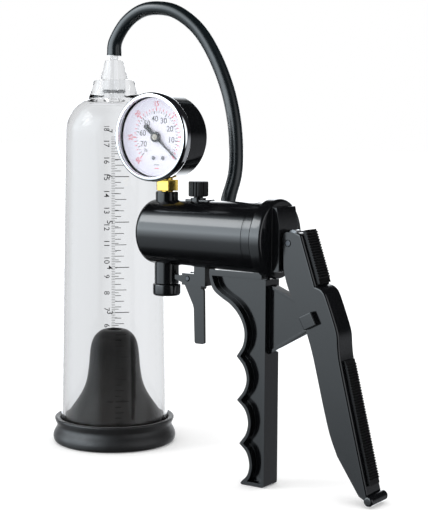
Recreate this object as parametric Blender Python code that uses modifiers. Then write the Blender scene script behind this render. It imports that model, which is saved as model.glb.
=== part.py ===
"""Hand vacuum pump with its gauge, hose and clear chamber. Metres, +Z up.

The origin is the middle of the handle's flat foot, +X runs along the barrel to the lever side,
and -Y is the side that the gauge faces.
"""
import math

import bmesh
import bpy
from mathutils import Matrix, Vector

MM = 0.001
GAP = 0.3

# Driving dimensions, in millimetres.
CHAMBER_X, CHAMBER_Y = -122.0, 33.5
TUBE_R_BOTTOM, TUBE_R_TOP, TUBE_WALL = 31.2, 28.2, 2.0
TUBE_Z0, SHOULDER_Z, NECK_Z, COLLAR_Z = 3.5, 181.0, 200.0, 209.6
CONE_TOP_Z, CONE_MOUTH_R = 65.6, 4.4
AXIS_Z = 128.0
BARREL_FRONT, BARREL_BACK = -69.4, 5.0
BARREL_R_FRONT, BARREL_R_BACK = 17.2, 18.2
BORE_R, BORE_X = 14.0, -33.0
PORT_X, KNOB_X, ELBOW_X = -59.3, -38.9, -36.5
GAUGE_Z, GAUGE_FRONT, GAUGE_BACK = 178.4, -16.0, 6.5
HANDLE_HALF = 6.5
PIVOT_X, PIVOT_Z = 34.2, 89.3
ROD_PIN_X, ROD_PIN_Z = 20.8, 126.85
LEVER_HALF, LEVER_WALL = 7.5, 2.0
TRIGGER_PIN_X, TRIGGER_PIN_Z = -42.3, 104.4
HOSE_R = 3.9

for old in list(bpy.data.objects):
    bpy.data.objects.remove(old)

PART = bpy.data.collections.new("hand_vacuum_pump")
CUTTERS = bpy.data.collections.new("cutters")
bpy.context.scene.collection.children.link(PART)
bpy.context.scene.collection.children.link(CUTTERS)

MATERIALS = {
    "gloss_black": ((0.012, 0.013, 0.015), 0.22, 0.0),
    "rubber_black": ((0.020, 0.020, 0.022), 0.75, 0.0),
    "soft_grey": ((0.085, 0.080, 0.078), 0.45, 0.0),
    "clear_acrylic": ((0.88, 0.90, 0.92), 0.06, 0.0),
    "hose_rubber": ((0.012, 0.022, 0.025), 0.30, 0.0),
    "chrome_trim": ((0.75, 0.76, 0.78), 0.12, 1.0),
    "brass_fitting": ((0.80, 0.60, 0.16), 0.25, 1.0),
    "steel": ((0.55, 0.56, 0.58), 0.30, 1.0),
    "dial_white": ((0.80, 0.79, 0.86), 0.50, 0.0),
    "needle_black": ((0.010, 0.010, 0.010), 0.40, 0.0),
    "nylon": ((0.70, 0.69, 0.64), 0.45, 0.0),
}
MADE = {}


def material(name):
    if name not in MADE:
        colour, roughness, metallic = MATERIALS[name]
        made = bpy.data.materials.new(name)
        made.use_nodes = True
        made.diffuse_color = (*colour, 1.0)
        shader = made.node_tree.nodes["Principled BSDF"]
        shader.inputs["Base Color"].default_value = (*colour, 1.0)
        shader.inputs["Roughness"].default_value = roughness
        shader.inputs["Metallic"].default_value = metallic
        MADE[name] = made
    return MADE[name]


def add(name, mesh, slot=None):
    """An object in the part's collection, or among the cutters when it has no material."""
    obj = bpy.data.objects.new(name, mesh)
    if slot:
        PART.objects.link(obj)
        obj.data.materials.append(material(slot))
    else:
        CUTTERS.objects.link(obj)
        obj.hide_render = True
        obj.display_type = "WIRE"
    return obj


def box(name, lo, hi, slot=None):
    mesh = bpy.data.meshes.new(name)
    shape = bmesh.new()
    size = [(hi[i] - lo[i]) * MM for i in range(3)]
    middle = Vector([(hi[i] + lo[i]) * MM / 2 for i in range(3)])
    bmesh.ops.create_cube(shape, size=1.0, matrix=Matrix.Translation(middle) @ Matrix.Diagonal((*size, 1.0)))
    shape.to_mesh(mesh)
    shape.free()
    return add(name, mesh, slot)


def rod(name, start, end, radius, slot=None, sides=24, end_radius=None):
    """A cylinder or a cone between two points."""
    a, b = Vector(start) * MM, Vector(end) * MM
    turn = (b - a).to_track_quat("Z", "Y").to_matrix().to_4x4()
    mesh = bpy.data.meshes.new(name)
    shape = bmesh.new()
    bmesh.ops.create_cone(
        shape,
        cap_ends=True,
        segments=sides,
        radius1=radius * MM,
        radius2=(radius if end_radius is None else end_radius) * MM,
        depth=(b - a).length,
        matrix=Matrix.Translation((a + b) / 2) @ turn,
    )
    shape.to_mesh(mesh)
    shape.free()
    return add(name, mesh, slot)


def plate(name, outline, y0, y1, slot=None):
    """An (x, z) outline pushed from y0 to y1."""
    mesh = bpy.data.meshes.new(name)
    shape = bmesh.new()
    ring = [shape.verts.new((x * MM, y0 * MM, z * MM)) for x, z in outline]
    face = shape.faces.new(ring)
    made = bmesh.ops.extrude_face_region(shape, geom=[face])
    moved = [item for item in made["geom"] if isinstance(item, bmesh.types.BMVert)]
    bmesh.ops.translate(shape, verts=moved, vec=(0, (y1 - y0) * MM, 0))
    bmesh.ops.recalc_face_normals(shape, faces=shape.faces)
    shape.to_mesh(mesh)
    shape.free()
    return add(name, mesh, slot)


def turned(name, profile, steps, slot=None, closed=True, at=(0, 0, 0), axis="Z"):
    """A Screw of an (r, height) profile, listed from top to bottom on its outer side."""
    points = [(r * MM, 0, h * MM) for r, h in profile]
    count = len(points)
    edges = [(i, i + 1) for i in range(count - 1)]
    if closed:
        edges.append((count - 1, 0))
    mesh = bpy.data.meshes.new(name)
    mesh.from_pydata(points, edges, [])
    obj = add(name, mesh, slot)
    screw = obj.modifiers.new("turn", "SCREW")
    screw.steps = steps
    screw.render_steps = steps
    screw.use_merge_vertices = True
    screw.merge_threshold = 0.00001
    screw.use_normal_calculate = False
    if axis == "X":
        obj.rotation_euler = (0, math.radians(90), 0)
    if axis == "-Y":
        obj.rotation_euler = (math.radians(90), 0, 0)
    if axis == "+Y":
        obj.rotation_euler = (math.radians(-90), 0, 0)
    obj.location = [value * MM for value in at]
    return obj


def boolean(obj, other, operation="DIFFERENCE"):
    step = obj.modifiers.new(other.name, "BOOLEAN")
    step.operation = operation
    step.solver = "EXACT"
    step.object = other
    return obj


def bevel(obj, width, segments=2, angle=35):
    step = obj.modifiers.new("edge", "BEVEL")
    step.width = width * MM
    step.segments = segments
    step.limit_method = "ANGLE"
    step.angle_limit = math.radians(angle)
    step.use_clamp_overlap = True
    return obj


def smooth_line(points, steps):
    """Points along a smooth line through the given points, the ends included."""
    line = [Vector(p) for p in points]
    line = [2 * line[0] - line[1], *line, 2 * line[-1] - line[-2]]
    found = []
    for i in range(1, len(line) - 2):
        p0, p1, p2, p3 = line[i - 1 : i + 3]
        for step in range(steps):
            t = step / steps
            found.append(
                0.5 * ((2 * p1) + (p2 - p0) * t + (2 * p0 - 5 * p1 + 4 * p2 - p3) * t * t
                       + (3 * p1 - p0 - 3 * p2 + p3) * t ** 3)
            )
    found.append(line[-2])
    return found


def arc(cx, cz, radius, start, end, count):
    """Points on an arc, angles in degrees from +X toward +Z."""
    found = []
    for i in range(count + 1):
        angle = math.radians(start + (end - start) * i / count)
        found.append((cx + radius * math.cos(angle), cz + radius * math.sin(angle)))
    return found


def wire(name, points, radius, slot, resolution=2):
    """A round tube along the points, with filled ends."""
    curve = bpy.data.curves.new(name, "CURVE")
    curve.dimensions = "3D"
    curve.bevel_depth = radius * MM
    curve.bevel_resolution = resolution
    curve.use_fill_caps = True
    spline = curve.splines.new("POLY")
    spline.points.add(len(points) - 1)
    for place, point in zip(spline.points, points):
        place.co = (*[value * MM for value in point], 1.0)
    return add(name, curve, slot)


CHAMBER = (CHAMBER_X, CHAMBER_Y, 0)

# Chamber: a tapered clear tube with a domed shoulder and a short collar that takes the hose coupling.
chamber_outer = [
    (11.6, COLLAR_Z),
    (14.3, NECK_Z + 0.6),
    (14.6, NECK_Z - 0.6),
    (18.5, NECK_Z - 2.4),
    (22.8, NECK_Z - 6.0),
    (26.2, NECK_Z - 11.5),
    (27.8, NECK_Z - 16.5),
    (TUBE_R_TOP, SHOULDER_Z - 3.0),
    (TUBE_R_BOTTOM, TUBE_Z0),
]
chamber_inner = [
    (TUBE_R_BOTTOM - TUBE_WALL, TUBE_Z0),
    (TUBE_R_TOP - TUBE_WALL, SHOULDER_Z - 3.2),
    (25.6, NECK_Z - 17.2),
    (23.8, NECK_Z - 12.6),
    (20.6, NECK_Z - 7.9),
    (16.6, NECK_Z - 4.6),
    (11.6, NECK_Z - 2.8),
    (7.0, NECK_Z - 2.2),
    (7.0, COLLAR_Z),
]
turned("chamber_tube", chamber_outer + chamber_inner, 64, "clear_acrylic", at=CHAMBER)

coupling = [
    (2.5, 223.1), (2.5, 221.0), (5.2, 220.6), (8.0, COLLAR_Z + 0.5), (6.4, COLLAR_Z + 0.3),
    (6.4, 203.2), (5.2, 203.0), (5.2, 201.4), (6.4, 201.2), (6.0, 198.6),
    (2.0, 198.6), (1.4, 205.0), (1.4, 223.1),
]
turned("hose_coupling", coupling, 32, "clear_acrylic", at=CHAMBER)

seal_ring = [(6.1 + 0.6 * math.cos(a), 202.2 - 0.6 * math.sin(a)) for a in
             [math.radians(-90 + 45 * i) for i in range(8)]]
turned("coupling_seal", seal_ring, 24, "rubber_black", at=CHAMBER)

# Base ring: a thick rubber foot around the tube's lower end, waisted under a flared lip.
ring = [
    (34.4, 14.6), (34.8, 13.8), (34.0, 12.0), (33.4, 10.2), (33.9, 8.4), (35.2, 6.2), (35.8, 4.0),
    (35.4, 1.6), (34.2, 0.0), (29.3, 0.0), (29.3, TUBE_Z0 - GAP), (31.55, TUBE_Z0 - GAP), (31.4, 14.6),
]
turned("base_ring", ring, 56, "rubber_black", at=CHAMBER)

# Soft cone: a thin bell-shaped sleeve that lines the tube's mouth and closes to a small hole.
cone_outer = [
    (CONE_MOUTH_R, CONE_TOP_Z), (8.0, 64.6), (11.4, 61.6), (13.5, 57.2), (14.4, 51.5), (15.2, 42.5),
    (16.5, 35.0), (18.6, 29.4), (21.6, 24.4), (25.6, 19.2), (28.2, 15.6), (28.8, 12.5), (28.8, GAP),
]
cone_inner = [
    (27.2, GAP), (27.2, 12.0), (26.4, 14.7), (24.2, 18.0), (20.2, 23.2), (17.1, 28.4), (14.9, 34.4),
    (13.6, 42.2), (12.8, 51.2), (12.0, 56.4), (10.3, 60.2), (7.3, 62.9), (CONE_MOUTH_R, 63.9),
]
turned("soft_cone", cone_outer + cone_inner, 48, "soft_grey", at=CHAMBER)

# Barrel: solid valve end in front, open bore behind, with a boss above and below the valve end.
barrel_profile = [
    (0.0, BARREL_BACK), (BARREL_R_BACK, BARREL_BACK), (BARREL_R_FRONT, BARREL_FRONT + 3.4),
    (16.5, BARREL_FRONT + 1.2), (14.4, BARREL_FRONT), (0.0, BARREL_FRONT),
]
barrel = turned("barrel", barrel_profile, 48, "gloss_black", closed=False, at=(0, 0, AXIS_Z), axis="X")
gauge_boss = rod("gauge_boss", (PORT_X, 0, AXIS_Z + 8), (PORT_X, 0, 149.6), 6.1, sides=32)
port_boss = rod("port_boss", (PORT_X, 0, 100.6), (PORT_X, 0, AXIS_Z - 8), 6.6, sides=32)
knob_boss = rod("knob_boss", (KNOB_X, 0, AXIS_Z + 8), (KNOB_X, 0, 147.0), 4.4, sides=24, end_radius=4.0)
knob_pad = box("knob_pad", (KNOB_X - 6.5, -3.2, AXIS_Z + 9), (KNOB_X + 8.5, 3.2, 146.2))
elbow_boss = rod("elbow_boss", (ELBOW_X, 8, AXIS_Z), (ELBOW_X, 19.2, AXIS_Z), 5.4, sides=24)
lug_outline = [(-46.0, 101.0), (-31.2, 101.0), (-31.2, 116.0), (-38.2, 116.0), (-38.2, 107.2), (-46.0, 107.2)]
lug = plate("trigger_lug", lug_outline, -4.8, 4.8)
for extra in (gauge_boss, port_boss, knob_boss, knob_pad, elbow_boss, lug):
    boolean(barrel, extra, "UNION")
bore = rod("bore", (BORE_X, 0, AXIS_Z), (BARREL_BACK + 1, 0, AXIS_Z), BORE_R, sides=48)
gallery = rod("gallery", (-64, 0, AXIS_Z), (BORE_X + 1, 0, AXIS_Z), 2.2, sides=16)
port_drill = rod("port_drill", (PORT_X, 0, 99), (PORT_X, 0, 151), 3.4, sides=20)
port_seat = rod("port_seat", (PORT_X, 0, 98), (PORT_X, 0, 104.4), 5.0, sides=24)
knob_drill = rod("knob_drill", (KNOB_X, 0, AXIS_Z - 0.9), (KNOB_X, 0, 149), 2.8, sides=16)
elbow_drill = rod("elbow_drill", (ELBOW_X, -0.7, AXIS_Z), (ELBOW_X, 20, AXIS_Z), 2.8, sides=16)
slot = box("trigger_slot", (-47.0, -2.9, 100.0), (-33.8, 2.9, 109.5))
pin_drill = rod("pin_drill", (TRIGGER_PIN_X, -6, TRIGGER_PIN_Z), (TRIGGER_PIN_X, 6, TRIGGER_PIN_Z), 1.5, sides=16)
for cutter in (bore, gallery, port_drill, port_seat, knob_drill, elbow_drill, slot, pin_drill):
    boolean(barrel, cutter)

# Grip handle: finger hollows in front, a middle web with a recess on each side, the lever's bracket behind.
finger_side = [
    (-27.4, 109.2), (-26.6, 104.4), (-24.4, 99.6), (-19.4, 96.2), (-14.2, 93.4), (-9.8, 89.6), (-6.6, 84.6),
    (-5.2, 78.6), (-6.2, 72.6), (-9.9, 66.8), (-5.4, 61.6), (-3.7, 55.4), (-5.3, 49.4), (-9.5, 44.0),
    (-4.4, 39.2), (-2.6, 33.1), (-3.8, 27.0), (-7.8, 21.4), (-3.2, 16.9), (-1.6, 11.0), (-2.8, 5.6),
]
foot = [(-7.4, 2.2), (-7.0, 0.4), (-6.2, 0.0), (6.4, 0.0), (7.4, 0.8)]
handle_outline = finger_side + foot + [(7.4, 109.2)]
handle = plate("grip_handle", handle_outline, -HANDLE_HALF, HANDLE_HALF, "gloss_black")
recess = [
    (-25.5, 107.4), (-24.8, 104.8), (-22.9, 101.0), (-18.6, 98.0), (-13.2, 95.2), (-8.6, 91.0), (-5.0, 85.4),
    (-3.5, 78.6), (-4.6, 72.0), (-7.6, 66.9), (-3.8, 62.2), (-2.0, 55.4), (-3.7, 48.8), (-7.2, 44.1),
    (-2.8, 39.9), (-0.9, 33.1), (-2.2, 26.4), (-5.5, 21.5), (-1.6, 17.7), (0.1, 11.0), (-1.2, 4.8),
    (-3.4, 1.9), (5.8, 1.9), (5.8, 107.4),
]
boolean(handle, plate("near_recess", recess, -HANDLE_HALF - 1, -1.8))
boolean(handle, plate("far_recess", recess, 1.8, HANDLE_HALF + 1))
bracket_outline = (
    [(5.0, 103.6), (9.0, 103.6)]
    + arc(PIVOT_X, PIVOT_Z, 4.6, 62, -62, 8)
    + [(9.0, 70.0), (5.0, 69.2)]
)
boolean(handle, plate("bracket_web", bracket_outline, -2.3, 2.3), "UNION")
saddle = [(-27.2, 108.6), (7.2, 108.6), (7.2, 120.0), (-27.2, 120.0)]
boolean(handle, plate("saddle", saddle, -HANDLE_HALF, HANDLE_HALF), "UNION")
clear_barrel = rod("clear_barrel", (-40, 0, AXIS_Z), (20, 0, AXIS_Z), BARREL_R_BACK + 0.35, sides=48)
boolean(handle, clear_barrel)
boolean(handle, box("clear_cap", (4.9, -9, 107.2), (14, 9, 122)))
pivot_drill = rod("pivot_drill", (PIVOT_X, -9, PIVOT_Z), (PIVOT_X, 9, PIVOT_Z), 2.3, sides=20)
boolean(handle, pivot_drill)

# Rear end cap: a flange wider than the barrel, a spigot in the bore and a square rod guide behind.
cap_profile = [
    (0.0, 12.4), (18.6, 12.4), (20.0, 11.4), (20.3, 9.6), (20.3, 6.4), (19.6, 5.3), (13.7, 5.3), (13.7, -1.0),
    (0.0, -1.0),
]
cap = turned("end_cap", cap_profile, 48, "gloss_black", closed=False, at=(0, 0, AXIS_Z), axis="X")
guide_outline = [(11.0, 112.0), (15.8, 112.0), (16.6, 113.0), (16.6, 136.0), (15.0, 144.4), (11.0, 144.4)]
boolean(cap, plate("guide", guide_outline, -9.0, 9.0), "UNION")
boolean(cap, rod("cap_drill", (-3, 0, AXIS_Z), (20, 0, AXIS_Z), 3.5, sides=24))
boolean(cap, rod("bush_seat", (-3, 0, AXIS_Z), (8.3, 0, AXIS_Z), 5.4, sides=24))

# Piston, its seal, the rod with a slotted eye, and the bush that the rod runs in.
turned(
    "rod_bush",
    [(5.1, 8.0), (5.1, -0.8), (3.35, -0.8), (3.35, 8.0)],
    24, "nylon", at=(0, 0, AXIS_Z), axis="X",
)
piston = turned(
    "piston",
    [
        (0.0, -26.0), (13.0, -26.0), (13.6, -26.6), (13.6, -27.6), (11.8, -27.8), (11.8, -29.8),
        (13.6, -30.0), (13.6, -31.0), (13.0, -31.6), (0.0, -31.6),
    ],
    36, "nylon", closed=False, at=(0, 0, AXIS_Z), axis="X",
)
boolean(piston, rod("rod_hole", (-30.4, 0, AXIS_Z), (-25, 0, AXIS_Z), 3.3, sides=24))
turned(
    "piston_seal",
    [(13.2, -28.1), (13.7, -28.4), (13.75, -28.8), (13.7, -29.2), (13.2, -29.5), (12.1, -29.5), (12.1, -28.1)],
    36, "rubber_black", at=(0, 0, AXIS_Z), axis="X",
)
piston_rod = rod("piston_rod", (-30.1, 0, AXIS_Z), (17.5, 0, AXIS_Z), 3.0, "steel", sides=20)
eye_outline = [(ROD_PIN_X + 4.0 * math.cos(a), AXIS_Z + 5.2 * math.sin(a)) for a in
               [math.radians(15 * i) for i in range(24)]]
boolean(piston_rod, plate("rod_eye", eye_outline, -2.6, 2.6), "UNION")
slot_outline = arc(ROD_PIN_X, AXIS_Z + 1.15, 1.95, 0, 180, 8) + arc(ROD_PIN_X, AXIS_Z - 1.15, 1.95, 180, 360, 8)
boolean(piston_rod, plate("rod_slot", slot_outline, -4, 4))

coil = []
TURNS, COIL_R, COIL_START, COIL_END = 5, 8.6, -24.9, -2.1
for i in range(TURNS * 12 + 1):
    angle = math.radians(30 * i)
    along = COIL_START + (COIL_END - COIL_START) * i / (TURNS * 12)
    coil.append((along, COIL_R * math.cos(angle), AXIS_Z + COIL_R * math.sin(angle)))
wire("return_spring", coil, 0.65, "steel", 1)

# Lever: a channel open toward the handle, hung on the bracket's pivot, with a rolled toe.
lever_outline = [
    (18.0, 130.4), (17.5, 128.6), (18.2, 124.5), (18.6, 113.2), (21.8, 103.2), (28.6, 92.4), (32.0, 83.6),
    (35.5, 73.5), (39.1, 59.8), (42.6, 46.1), (46.4, 33.1), (50.6, 23.2), (63.0, 5.0), (67.0, 3.0),
    (67.4, 6.6), (58.2, 43.0), (51.4, 70.5), (50.6, 77.0), (49.8, 84.5), (43.0, 102.0), (40.6, 105.2),
    (36.8, 106.6), (28.6, 130.6), (26.4, 132.4), (20.0, 132.4),
]
lever = plate("lever", lever_outline, -LEVER_HALF, LEVER_HALF, "gloss_black")
lever_hollow = [
    (10.0, 134.0), (10.0, 80.0), (40.0, 20.0), (59.0, 5.5), (63.6, 8.0), (56.2, 43.0), (49.4, 70.0),
    (48.6, 76.6), (47.8, 84.0), (41.2, 100.6), (39.4, 103.2), (35.2, 104.8), (26.2, 131.4), (25.6, 134.0),
]
boolean(lever, plate("lever_hollow", lever_hollow, -LEVER_HALF + LEVER_WALL, LEVER_HALF - LEVER_WALL))
toe = rod("lever_toe", (68.4, -8.6, 3.4), (68.4, 8.6, 3.4), 2.6, sides=16)
boolean(lever, toe, "UNION")
rod_pin_drill = rod("rod_pin_drill", (ROD_PIN_X, -9, ROD_PIN_Z), (ROD_PIN_X, 9, ROD_PIN_Z), 1.8, sides=16)
boolean(lever, rod_pin_drill)
boolean(lever, rod("lever_pivot_drill", (PIVOT_X, -9, PIVOT_Z), (PIVOT_X, 9, PIVOT_Z), 2.3, sides=20))

turned(
    "lever_pivot_pin",
    [(0.0, 9.4), (3.4, 9.4), (3.9, 8.8), (3.9, 7.8), (2.0, 7.8), (2.0, -7.4), (0.0, -7.4)],
    20, "steel", closed=False, at=(PIVOT_X, 0, PIVOT_Z), axis="+Y",
)
block_outline = []
for side, rise in ((-3.8, -3.6), (3.8, -3.6), (3.8, 3.6), (-3.8, 3.6)):
    tilt = math.radians(27)
    block_outline.append(
        (PIVOT_X + side * math.cos(tilt) - rise * math.sin(tilt),
         PIVOT_Z + side * math.sin(tilt) + rise * math.cos(tilt))
    )
bevel(plate("pivot_block", block_outline, -10.6, -LEVER_HALF - GAP, "gloss_black"), 0.5)
rod("rod_pin", (ROD_PIN_X, -7.6, ROD_PIN_Z), (ROD_PIN_X, 7.6, ROD_PIN_Z), 1.5, "steel", sides=16)


def ribbed_pad(name, start, end, width, thick, pitch, margin):
    """A strip on the lever's back with fine cross ribs between its plain ends."""
    a, b = Vector(start), Vector(end)
    along = (b - a).normalized()
    out = Vector((-along.y, along.x))
    if out.x < 0:
        out = -out
    length = (b - a).length
    count = int((length - 2 * margin) / pitch)
    top = [Vector((0, 0)), Vector((0, thick))]
    for i in range(count):
        at = margin + i * pitch
        top += [Vector((at, thick)), Vector((at + 0.25 * pitch, thick + 0.55))]
        top += [Vector((at + 0.6 * pitch, thick + 0.55)), Vector((at + 0.85 * pitch, thick))]
    top += [Vector((length, thick)), Vector((length, 0))]
    outline = [a + along * p.x + out * (p.y + GAP) for p in top]
    return plate(name, [(p.x, p.y) for p in outline], -width / 2, width / 2, "gloss_black")


ribbed_pad("upper_pad", (27.7, 133.2), (36.6, 107.2), 14.0, 1.5, 2.1, 1.2)
ribbed_pad("lower_pad", (51.5, 70.3), (66.55, 10.0), 10.5, 1.1, 2.1, 2.0)

# Release trigger: a blade under the barrel with a short arm toward the valve port.
trigger_top = [
    (-52.2, 105.6), (-52.2, 103.4), (-46.6, 101.6), (-45.4, 100.2), (-41.0, 98.8), (-35.6, 98.8), (-35.2, 99.4),
    (-35.2, 103.6), (-37.4, 105.4), (-40.2, 106.8), (-43.6, 106.9), (-46.2, 105.8),
]
trigger_blade = [
    (-46.4, 101.4), (-45.4, 100.2), (-40.3, 90.4), (-39.8, 88.6), (-39.2, 71.0), (-38.5, 70.0), (-33.8, 70.0),
    (-33.0, 71.0), (-33.5, 98.4), (-34.0, 99.2), (-36.6, 99.4), (-40.0, 103.0),
]
trigger = plate("release_trigger", trigger_top, -2.6, 2.6, "gloss_black")
boolean(trigger, plate("trigger_blade_shape", trigger_blade, -2.6, -1.0), "UNION")
boolean(trigger, rod("trigger_drill", (TRIGGER_PIN_X, -6, TRIGGER_PIN_Z), (TRIGGER_PIN_X, 6, TRIGGER_PIN_Z), 1.5,
                     sides=16))
rod("trigger_pin", (TRIGGER_PIN_X, -5.2, TRIGGER_PIN_Z), (TRIGGER_PIN_X, 5.2, TRIGGER_PIN_Z), 1.2, "steel", sides=16)

# Lower port: a soft valve disc in its seat, under a screwed cap.
turned(
    "port_valve",
    [(0.0, 104.0), (4.6, 104.0), (4.6, 103.0), (1.6, 102.4), (1.6, 101.0), (0.0, 101.0)],
    20, "rubber_black", closed=False, at=(PORT_X, 0, 0),
)
turned(
    "port_cap",
    [(0.0, 100.3), (6.9, 100.3), (7.5, 99.7), (7.5, 94.8), (6.9, 94.0), (0.0, 94.0)],
    36, "gloss_black", closed=False, at=(PORT_X, 0, 0),
)

# Bleed knob: a ribbed cap on a thin stem, with a seal in the barrel's boss.
knob = turned(
    "bleed_knob",
    [
        (0.0, 155.6), (4.6, 155.6), (5.2, 155.0), (5.2, 148.0), (4.8, 147.6), (2.4, 147.6),
        (2.4, 133.5), (0.0, 130.8),
    ],
    36, "gloss_black", closed=False, at=(KNOB_X, 0, 0),
)
for i in range(12):
    turn = math.radians(30 * i)
    x, y = KNOB_X + 5.5 * math.cos(turn), 5.5 * math.sin(turn)
    boolean(knob, rod("flute_%02d" % i, (x, y, 146.6), (x, y, 154.6), 0.6, sides=8))

# Hose elbow on the far side of the barrel, its barb pointing up into the hose.
elbow = rod("hose_elbow", (ELBOW_X, 10.5, AXIS_Z), (ELBOW_X, 26.6, AXIS_Z), 2.5, "gloss_black", sides=20)
for extra in (
    rod("elbow_flange", (ELBOW_X, 19.5, AXIS_Z), (ELBOW_X, 21.6, AXIS_Z), 5.2, sides=24),
    rod("elbow_body", (ELBOW_X, 21.0, AXIS_Z), (ELBOW_X, 28.2, AXIS_Z), 3.8, sides=24),
    rod("elbow_riser", (ELBOW_X, 24.4, AXIS_Z), (ELBOW_X, 24.4, 136.4), 3.4, sides=20),
    rod("elbow_barb", (ELBOW_X, 24.4, 136.2), (ELBOW_X, 24.4, 138.0), 2.4, sides=20),
):
    boolean(elbow, extra, "UNION")
boolean(elbow, rod("elbow_way", (ELBOW_X, 9, AXIS_Z), (ELBOW_X, 25.4, AXIS_Z), 1.2, sides=12))
boolean(elbow, rod("elbow_rise", (ELBOW_X, 24.4, AXIS_Z), (ELBOW_X, 24.4, 140), 1.2, sides=12))

# Hose: from the chamber's coupling over an arch and down behind the barrel to the elbow.
HOSE_ROUTE = [
    (CHAMBER_X, CHAMBER_Y, 223.4), (-120.8, 34.0, 231.5), (-114.6, 34.8, 241.5), (-104.0, 35.2, 248.0),
    (-92.0, 35.5, 249.3), (-79.5, 36.5, 246.5), (-66.5, 38.2, 237.0), (-56.0, 38.8, 222.6), (-47.0, 38.0, 205.0),
    (-40.6, 35.4, 188.0), (-36.4, 31.6, 171.5), (-34.6, 27.8, 158.0), (ELBOW_X, 24.5, 145.0),
    (ELBOW_X, 24.4, 138.3),
]
wire("hose", smooth_line(HOSE_ROUTE, 3), HOSE_R, "hose_rubber", 2)

# Gauge: case, bezel, window, dial, needle and movement, on a brass hexagon.
GAUGE = (PORT_X, 0, GAUGE_Z)
case_profile = [
    (0.0, -GAUGE_BACK), (20.6, -GAUGE_BACK), (22.0, -GAUGE_BACK + 1.4), (22.0, 11.6), (20.2, 11.6),
    (20.2, -GAUGE_BACK + 2.0), (0.0, -GAUGE_BACK + 2.0),
]
case = turned("gauge_case", case_profile[::-1], 48, "gloss_black", closed=False, at=GAUGE, axis="-Y")
boolean(case, rod("stem_hole", (PORT_X, 0, 150), (PORT_X, 0, 162), 3.4, sides=20))
bezel_profile = [
    (21.6, 16.0), (23.0, 15.2), (23.5, 13.6), (23.5, 11.0), (22.3, 10.6), (22.3, 11.9), (21.4, 12.2),
    (21.4, 13.2), (20.9, 15.2), (21.0, 15.9),
]
turned("gauge_bezel", bezel_profile, 56, "chrome_trim", at=GAUGE, axis="-Y")
turned(
    "gauge_window",
    [(0.0, 12.9), (21.1, 12.9), (21.1, 11.9), (0.0, 11.9)],
    40, "clear_acrylic", closed=False, at=GAUGE, axis="-Y",
)
dial = turned(
    "gauge_dial",
    [(0.0, 9.2), (19.9, 9.2), (19.9, 8.4), (0.0, 8.4)],
    40, "dial_white", closed=False, at=GAUGE, axis="-Y",
)
boolean(dial, rod("dial_hole", (PORT_X, -12, GAUGE_Z), (PORT_X, -4, GAUGE_Z), 1.4, sides=12))
NEEDLE_ANGLE = -40.0
needle_shape = [(-9.4, 1.2), (-9.4, -1.2), (-1.0, -0.85), (17.6, -0.25), (18.3, 0.0), (17.6, 0.25), (-1.0, 0.85)]
lean = math.radians(NEEDLE_ANGLE)
needle_outline = []
for along, across in needle_shape:
    needle_outline.append(
        (PORT_X + along * math.cos(lean) - across * math.sin(lean),
         GAUGE_Z + along * math.sin(lean) + across * math.cos(lean))
    )
needle = plate("gauge_needle", needle_outline, -10.6, -10.0, "needle_black")
boolean(needle, rod("needle_hub", (PORT_X, -11.2, GAUGE_Z), (PORT_X, -9.6, GAUGE_Z), 2.6, sides=24), "UNION")
boolean(needle, rod("needle_spindle", (PORT_X, -10.8, GAUGE_Z), (PORT_X, -6.0, GAUGE_Z), 0.9, sides=12), "UNION")
for name, x in (("dial_screw_left", -2.1), ("dial_screw_right", 4.1)):
    turned(
        name,
        [(0.0, 10.1), (0.9, 9.9), (1.1, 9.5), (0.0, 9.5)],
        12, "steel", closed=False, at=(PORT_X + x, 0, GAUGE_Z - 11.0), axis="-Y",
    )
movement = box("gauge_movement", (PORT_X - 5.5, -5.4, GAUGE_Z - 6.5), (PORT_X + 5.5, 3.6, GAUGE_Z + 5.0), "brass_fitting")
bevel(movement, 0.6)
tube_arc = [
    (PORT_X + 13.5 * math.cos(math.radians(a)), -1.0, GAUGE_Z + 13.5 * math.sin(math.radians(a)))
    for a in range(-70, 191, 13)
]
wire("bourdon_tube", tube_arc, 1.5, "brass_fitting", 1)
stem = rod("gauge_stem", (PORT_X, 0, 150.0), (PORT_X, 0, 155.9), 6.35, "brass_fitting", sides=6)
for extra in (
    rod("stem_lower", (PORT_X, 0, 139.5), (PORT_X, 0, 152.0), 3.1, sides=20),
    rod("stem_upper", (PORT_X, 0, 153.0), (PORT_X, 0, 162.5), 3.1, sides=20),
    box("stem_block", (PORT_X - 4.5, -4.4, 160.5), (PORT_X + 4.5, 2.6, 164.8)),
):
    boolean(stem, extra, "UNION")
boolean(stem, rod("stem_way", (PORT_X, 0, 139), (PORT_X, 0, 163.6), 1.2, sides=12))
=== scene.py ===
"""The finished look of the hand vacuum pump, its hose and its clear chamber."""

import math

import bmesh
import bpy
from mathutils import Matrix, Vector


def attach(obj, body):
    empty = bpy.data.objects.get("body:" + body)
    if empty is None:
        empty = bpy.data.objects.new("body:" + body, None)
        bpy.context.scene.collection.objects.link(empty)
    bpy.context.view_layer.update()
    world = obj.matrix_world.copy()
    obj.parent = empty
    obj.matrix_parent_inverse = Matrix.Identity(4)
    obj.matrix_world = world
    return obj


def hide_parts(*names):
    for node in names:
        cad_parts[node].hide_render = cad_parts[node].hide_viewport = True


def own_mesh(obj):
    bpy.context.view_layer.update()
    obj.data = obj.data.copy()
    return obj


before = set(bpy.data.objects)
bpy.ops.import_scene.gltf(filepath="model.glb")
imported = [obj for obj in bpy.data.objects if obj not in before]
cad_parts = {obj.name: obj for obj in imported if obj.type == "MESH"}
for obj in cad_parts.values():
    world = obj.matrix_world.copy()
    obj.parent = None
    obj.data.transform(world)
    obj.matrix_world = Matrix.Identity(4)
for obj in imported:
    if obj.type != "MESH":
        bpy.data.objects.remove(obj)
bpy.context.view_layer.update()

MM = 0.001
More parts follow.
